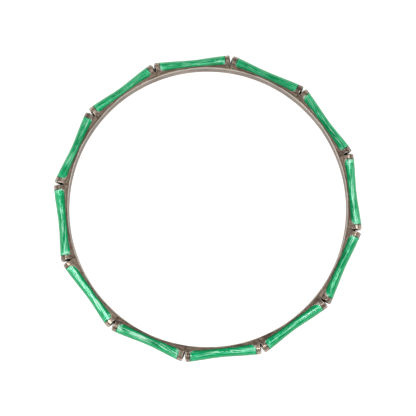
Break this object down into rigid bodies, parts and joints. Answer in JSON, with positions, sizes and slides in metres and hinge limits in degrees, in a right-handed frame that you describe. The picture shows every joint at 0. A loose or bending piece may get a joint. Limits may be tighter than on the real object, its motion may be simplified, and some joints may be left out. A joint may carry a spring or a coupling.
{
  "type": "bangle bracelet",
  "caption": "Rigid slip-on bangle: a ring of straight half-round bamboo canes in silver, each with end collars and a waisted green enamel coat, on a plain lining band.",
  "frame": {"origin": "centre of the wrist bore, halfway up the band's width", "axes": "+Z along the bore axis, +X from the centre to the middle of cane 1, canes numbered anticlockwise seen from +Z"},
  "size_m": [0.0692, 0.0692, 0.006],
  "materials": {
    "band_silver": "silver, polished by wear on the inside and lightly tarnished at the edges",
    "cane_silver": "silver with a warm grey-brown tarnish, brighter on worn collar edges",
    "green_enamel": "translucent green glass enamel, glossy, over a ground engraved lengthwise"
  },
  "bodies": {
    "root": {"inner_band": "band_silver", "silver_cane_01": "cane_silver", "silver_cane_02": "cane_silver", "silver_cane_03": "cane_silver", "silver_cane_04": "cane_silver", "silver_cane_05": "cane_silver", "silver_cane_06": "cane_silver", "silver_cane_07": "cane_silver", "silver_cane_08": "cane_silver", "silver_cane_09": "cane_silver", "silver_cane_10": "cane_silver", "silver_cane_11": "cane_silver", "silver_cane_12": "cane_silver", "enamel_coat_01": "green_enamel", "enamel_coat_02": "green_enamel", "enamel_coat_03": "green_enamel", "enamel_coat_04": "green_enamel", "enamel_coat_05": "green_enamel", "enamel_coat_06": "green_enamel", "enamel_coat_07": "green_enamel", "enamel_coat_08": "green_enamel", "enamel_coat_09": "green_enamel", "enamel_coat_10": "green_enamel", "enamel_coat_11": "green_enamel", "enamel_coat_12": "green_enamel"}
  },
  "joints": []
}
